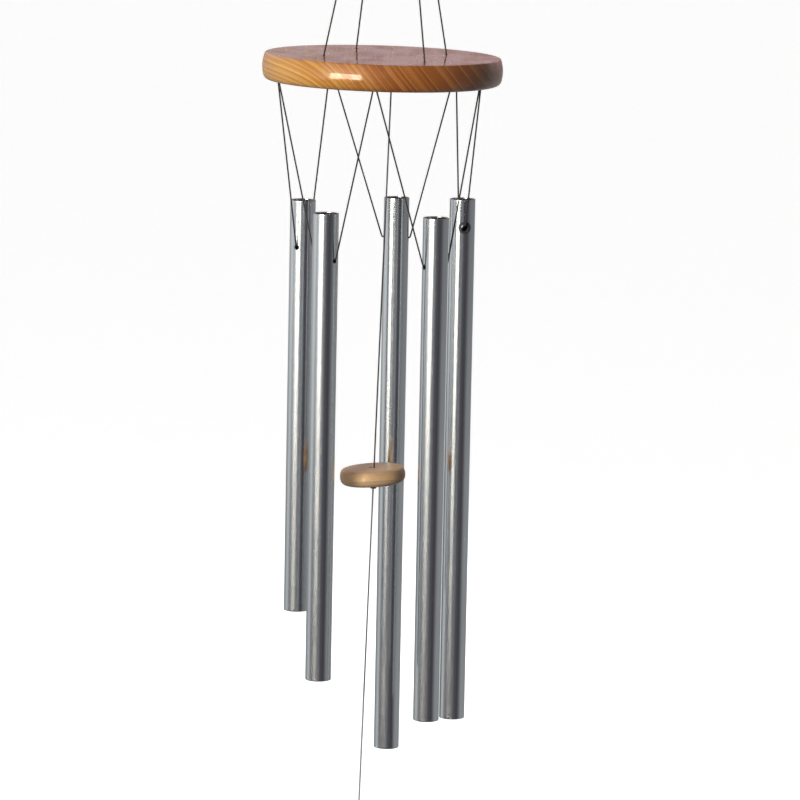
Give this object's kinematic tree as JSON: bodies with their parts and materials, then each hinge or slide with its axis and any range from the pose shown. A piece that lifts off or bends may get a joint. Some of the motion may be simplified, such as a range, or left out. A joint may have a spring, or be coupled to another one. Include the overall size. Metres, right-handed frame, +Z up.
{
  "type": "wind chime",
  "caption": "Hanging wind chime: round wooden platform on a ring and cord legs, metal tubes of stepped length hung in cord Vs around a wooden striker, with a wind sail below.",
  "frame": {"origin": "inside top of the hanging ring, where it bears on its hook", "axes": "+Z up, +X to the right and +Y to the back, seen from the front; the longest tube hangs at the back"},
  "size_m": [0.1524, 0.1524, 0.8422],
  "materials": {
    "platform_wood": "gloss varnish",
    "striker_wood": "satin varnish",
    "sail_wood": "satin varnish",
    "peg_wood": "plain turned wood",
    "tube_aluminium": "polished",
    "ring_steel": "bright wire",
    "cord": "braided",
    "grommet_rubber": "moulded"
  },
  "bodies": {
    "ring": {"hanging_ring": "ring_steel"},
    "crown_loop": {"crown_loop": "cord"},
    "crown_knot": {"crown_knot": "cord"},
    "platform": {"platform": "platform_wood", "leg_cord_left": "cord", "leg_cord_right": "cord", "leg_knots": "cord", "anchor_pegs": "peg_wood"},
    "cord_front_left": {"tube_cord_front_left": "cord"},
    "tube_front_left": {"tube_front_left": "tube_aluminium"},
    "cord_front_right": {"tube_cord_front_right": "cord"},
    "tube_front_right": {"tube_front_right": "tube_aluminium"},
    "cord_right": {"tube_cord_right": "cord"},
    "tube_right": {"tube_right": "tube_aluminium", "grommets": "grommet_rubber"},
    "cord_back": {"tube_cord_back": "cord"},
    "tube_back": {"tube_back": "tube_aluminium"},
    "cord_left": {"tube_cord_left": "cord"},
    "tube_left": {"tube_left": "tube_aluminium"},
    "centre_eye": {"centre_eye": "cord"},
    "pendulum": {"centre_cord": "cord"},
    "striker": {"striker": "striker_wood"},
    "striker_knot": {"striker_knot": "cord"},
    "sail_cord": {"sail_cord": "cord"},
    "sail_loop": {"sail_loop": "cord"},
    "sail": {"sail": "sail_wood"}
  },
  "joints": [
    {"name": "sway_front_back", "type": "hinge", "parent": "ring", "child": "crown_loop", "pos_m": [0, 0, -0.0205], "axis": [1, 0, 0], "range_deg": [-12, 12]},
    {"name": "sway_side", "type": "hinge", "parent": "crown_loop", "child": "crown_knot", "pos_m": [0, 0, -0.0259], "axis": [0, -1, 0], "range_deg": [-12, 12]},
    {"name": "platform_twist", "type": "hinge", "parent": "crown_knot", "child": "platform", "pos_m": [0, 0, -0.0259], "axis": [0, 0, 1], "range_deg": [-60, 60]},
    {"name": "swing_front_left", "type": "hinge", "parent": "platform", "child": "cord_front_left", "pos_m": [-0.04, -0.03966, -0.2466], "axis": [0.7477, -0.6639, -0.0098], "range_deg": [-12, 4]},
    {"name": "rock_front_left", "type": "hinge", "parent": "cord_front_left", "child": "tube_front_left", "pos_m": [-0.03828, -0.04118, -0.35556], "axis": [-0.7478, 0.664, 0], "range_deg": [-6, 10]},
    {"name": "swing_front_right", "type": "hinge", "parent": "platform", "child": "cord_front_right", "pos_m": [0.02424, -0.0463, -0.24744], "axis": [-0.847, -0.5314, 0.0111], "range_deg": [-4, 12]},
    {"name": "rock_front_right", "type": "hinge", "parent": "cord_front_right", "child": "tube_front_right", "pos_m": [0.03077, -0.04221, -0.35846], "axis": [0.8471, 0.5314, 0], "range_deg": [-10, 6]},
    {"name": "swing_right", "type": "hinge", "parent": "platform", "child": "cord_right", "pos_m": [0.04986, 0.01137, -0.24777], "axis": [0.2036, -0.979, -0.0027], "range_deg": [-4, 12]},
    {"name": "rock_right", "type": "hinge", "parent": "cord_right", "child": "tube_right", "pos_m": [0.0479, 0.02077, -0.33946], "axis": [-0.2036, 0.979, 0], "range_deg": [-10, 6]},
    {"name": "swing_back", "type": "hinge", "parent": "platform", "child": "cord_back", "pos_m": [0.00188, 0.05323, -0.24714], "axis": [0.9921, -0.1245, -0.013], "range_deg": [-4, 12]},
    {"name": "rock_back", "type": "hinge", "parent": "cord_back", "child": "tube_back", "pos_m": [0.00575, 0.05274, -0.35296], "axis": [-0.9922, 0.1245, 0], "range_deg": [-10, 6]},
    {"name": "swing_left", "type": "hinge", "parent": "platform", "child": "cord_left", "pos_m": [-0.05471, 0.02307, -0.2464], "axis": [-0.4194, -0.9078, 0.0055], "range_deg": [-12, 4]},
    {"name": "rock_left", "type": "hinge", "parent": "cord_left", "child": "tube_left", "pos_m": [-0.05413, 0.02434, -0.35536], "axis": [0.4194, 0.9078, 0], "range_deg": [-6, 10]},
    {"name": "pendulum_front_back", "type": "hinge", "parent": "platform", "child": "centre_eye", "pos_m": [0.0011, 0, -0.24713], "axis": [1, 0, 0], "range_deg": [-5, 5]},
    {"name": "pendulum_side", "type": "hinge", "parent": "centre_eye", "child": "pendulum", "pos_m": [0.0011, 0, -0.24713], "axis": [0, -1, 0], "range_deg": [-5, 5]},
    {"name": "striker_tilt", "type": "hinge", "parent": "pendulum", "child": "striker", "pos_m": [-0.0057, 0, -0.50686], "axis": [0, 1, 0], "range_deg": [-1.4, 13.4]},
    {"name": "lower_front_back", "type": "hinge", "parent": "pendulum", "child": "striker_knot", "pos_m": [-0.0057, 0, -0.50686], "axis": [1, 0, 0], "range_deg": [-6, 6]},
    {"name": "lower_side", "type": "hinge", "parent": "striker_knot", "child": "sail_cord", "pos_m": [-0.0057, 0, -0.50686], "axis": [0, -1, 0], "range_deg": [-6, 6]},
    {"name": "sail_spin", "type": "hinge", "parent": "sail_cord", "child": "sail_loop", "pos_m": [-0.01188, 0, -0.74277], "axis": [0.0262, 0, 0.9997], "continuous": true},
    {"name": "sail_sway", "type": "hinge", "parent": "sail_loop", "child": "sail", "pos_m": [-0.0122, 0, -0.75527], "axis": [0, -1, 0], "range_deg": [-15, 15]}
  ]
}
